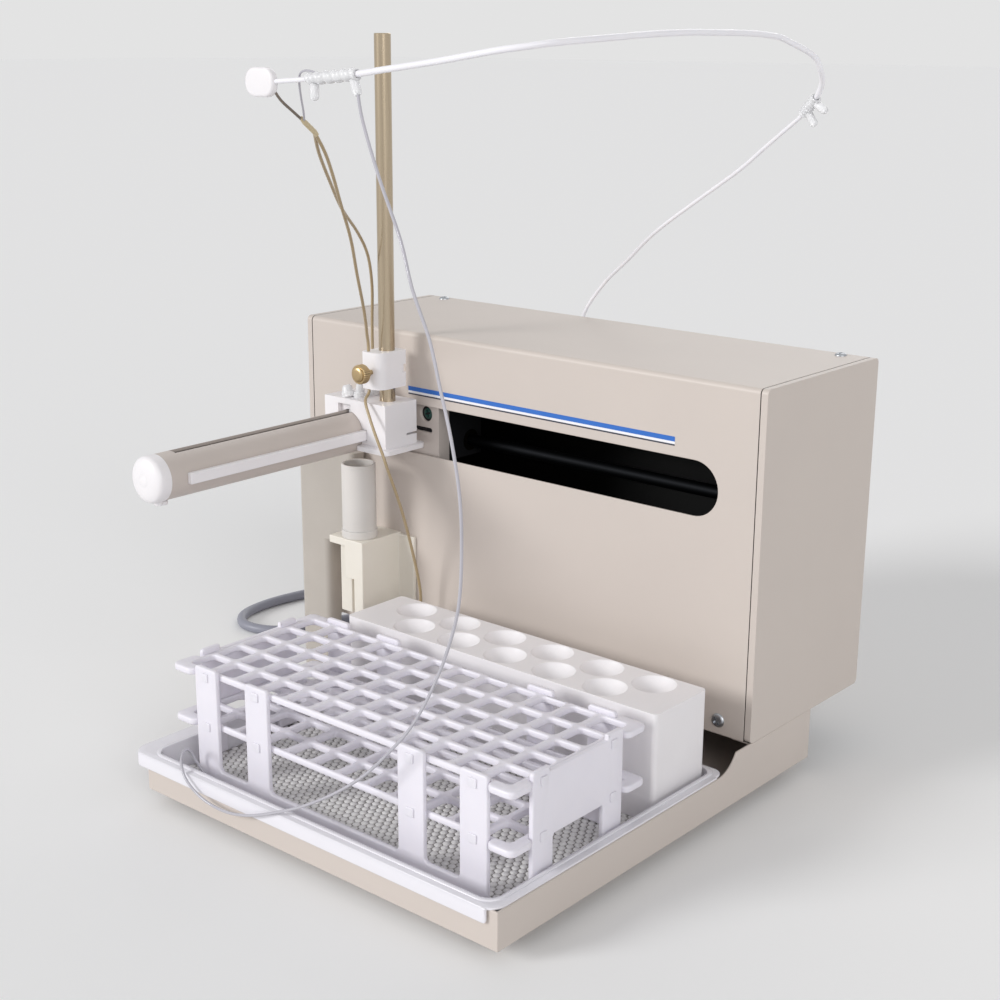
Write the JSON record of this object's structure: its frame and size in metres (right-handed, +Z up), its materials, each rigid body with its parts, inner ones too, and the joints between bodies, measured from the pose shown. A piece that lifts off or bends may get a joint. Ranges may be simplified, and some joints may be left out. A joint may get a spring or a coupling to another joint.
{
  "type": "bench autosampler",
  "caption": "Bench autosampler: sheet-metal housing with a sliding arm and mast over a tube rack, vial block and rinse cup in a wet tray on a low base pan.",
  "frame": {"origin": "middle of the footprint, on the plane under the rubber feet", "axes": "+X along the housing towards its right end, +Y from the rack towards the housing's back, +Z up along the mast"},
  "size_m": [0.4575, 0.4499, 0.4235],
  "materials": {
    "painted_steel": "satin powder coat, warm grey",
    "painted_arm": "satin paint, warm grey",
    "bare_steel": "plain zinc-plated",
    "bronze_mast": "champagne anodised",
    "knurled_brass": "knurled, dull",
    "white_plastic": "white acetal, machined",
    "tray_plastic": "white vacuum-formed sheet",
    "rack_plastic": "white moulded polypropylene",
    "mat_plastic": "studded grey-white mat",
    "cream_plastic": "cream moulded",
    "clear_plastic": "translucent polypropylene",
    "black_plastic": "moulded",
    "black_rubber": "plain",
    "blue_stripe": "screen-printed line",
    "circuit_board": "green solder mask",
    "white_rod": "white coated rod",
    "tan_tube": "tan polymer tube",
    "clear_tubing": "clear flexible tube",
    "grey_lead": "grey mains lead"
  },
  "bodies": {
    "root": {"base_pan": "painted_steel", "base_feet": "black_rubber", "chassis_plate": "bare_steel", "wrap_cover": "painted_steel", "left_end_cap": "painted_steel", "right_end_cap": "painted_steel", "cover_screws": "bare_steel", "accent_stripes": "blue_stripe", "rinse_post": "painted_steel", "rinse_bracket": "cream_plastic", "guide_rods": "bare_steel", "rod_blocks": "bare_steel", "x_motor": "black_plastic", "pulley_brackets": "bare_steel", "x_belt": "black_rubber", "control_board": "circuit_board", "power_supply": "bare_steel", "rod_socket": "bare_steel", "support_rod": "white_rod", "rod_sleeve": "white_rod", "rod_tip": "white_plastic", "rod_wraps": "clear_plastic", "tube_junction": "white_plastic", "sample_tube": "tan_tube", "clear_tube": "clear_tubing", "strain_relief": "black_rubber", "power_cord": "grey_lead", "cord_coil": "grey_lead", "mains_plug": "black_plastic"},
    "x_carriage": {"carriage_plate": "painted_arm", "carriage_block": "black_plastic", "carriage_bearings": "knurled_brass", "y_motor": "black_plastic", "y_idler_bracket": "bare_steel", "y_belt": "black_rubber", "arm_tube": "painted_arm", "arm_end_cap": "white_plastic", "arm_rail": "white_plastic"},
    "y_carriage": {"probe_block": "white_plastic", "tube_fittings": "clear_plastic", "mast": "bronze_mast"},
    "z_slider": {"probe_clamp": "white_plastic"},
    "thumbscrew": {"thumbscrew": "knurled_brass"},
    "tray": {"tray": "tray_plastic", "tray_mat": "mat_plastic"},
    "rack": {"rack_top_bars": "rack_plastic", "rack_top_crossbars": "rack_plastic", "rack_middle_bars": "rack_plastic", "rack_middle_crossbars": "rack_plastic", "rack_corner_pads": "rack_plastic", "rack_front_panel": "rack_plastic", "rack_back_panel": "rack_plastic", "rack_end_panels": "rack_plastic"},
    "well_block": {"well_block": "white_plastic"},
    "rinse_cup": {"rinse_cup": "clear_plastic"},
    "power_rocker": {"power_rocker": "black_plastic"},
    "x_motor_pulley": {"x_motor_pulley": "bare_steel"},
    "x_idler_pulley": {"x_idler_pulley": "bare_steel"},
    "y_motor_pulley": {"y_motor_pulley": "bare_steel"},
    "y_idler_pulley": {"y_idler_pulley": "bare_steel"}
  },
  "joints": [
    {"name": "x_slide", "type": "slide", "parent": "root", "child": "x_carriage", "axis": [1, 0, 0], "range_m": [0, 0.225], "deforming": ["sample_tube"]},
    {"name": "y_slide", "type": "slide", "parent": "x_carriage", "child": "y_carriage", "axis": [0, -1, 0], "range_m": [0, 0.135], "deforming": ["sample_tube"]},
    {"name": "z_slide", "type": "slide", "parent": "y_carriage", "child": "z_slider", "axis": [0, 0, 1], "range_m": [0, 0.15], "deforming": ["sample_tube"]},
    {"name": "thumbscrew_turn", "type": "hinge", "parent": "z_slider", "child": "thumbscrew", "pos_m": [-0.084, 0.00805, 0.221], "axis": [0, -1, 0], "range_deg": [0, 720]},
    {"name": "tray_lift", "type": "slide", "parent": "root", "child": "tray", "axis": [0, 0, 1], "range_m": [0, 0.025], "deforming": ["clear_tube"]},
    {"name": "rack_lift", "type": "slide", "parent": "tray", "child": "rack", "axis": [0, 0, 1], "range_m": [0, 0.055]},
    {"name": "block_lift", "type": "slide", "parent": "tray", "child": "well_block", "axis": [0, 0, 1], "range_m": [0, 0.04]},
    {"name": "cup_lift", "type": "slide", "parent": "root", "child": "rinse_cup", "axis": [0, 0, 1], "range_m": [0, 0.008]},
    {"name": "rocker_tilt", "type": "hinge", "parent": "root", "child": "power_rocker", "pos_m": [-0.085, 0.16385, 0.068], "axis": [1, 0, 0], "range_deg": [0, 14]},
    {"name": "x_motor_spin", "type": "hinge", "parent": "root", "child": "x_motor_pulley", "pos_m": [-0.153, 0.12205, 0.185], "axis": [0, 0, 1], "range_deg": [0, 1615]},
    {"name": "x_idler_spin", "type": "hinge", "parent": "root", "child": "x_idler_pulley", "pos_m": [0.151, 0.12205, 0.185], "axis": [0, 0, 1], "range_deg": [0, 1615]},
    {"name": "y_motor_spin", "type": "hinge", "parent": "x_carriage", "child": "y_motor_pulley", "pos_m": [-0.106, 0.06405, 0.18], "axis": [0, 0, 1], "range_deg": [-1560, 0]},
    {"name": "y_idler_spin", "type": "hinge", "parent": "x_carriage", "child": "y_idler_pulley", "pos_m": [-0.106, -0.12995, 0.18], "axis": [0, 0, 1], "range_deg": [-1560, 0]}
  ],
  "couplings": [
    {"joint": "x_motor_spin", "follows": "x_slide", "rad_per_m": 125},
    {"joint": "x_idler_spin", "follows": "x_slide", "rad_per_m": 125},
    {"joint": "y_motor_spin", "follows": "y_slide", "rad_per_m": -200},
    {"joint": "y_idler_spin", "follows": "y_slide", "rad_per_m": -200}
  ]
}
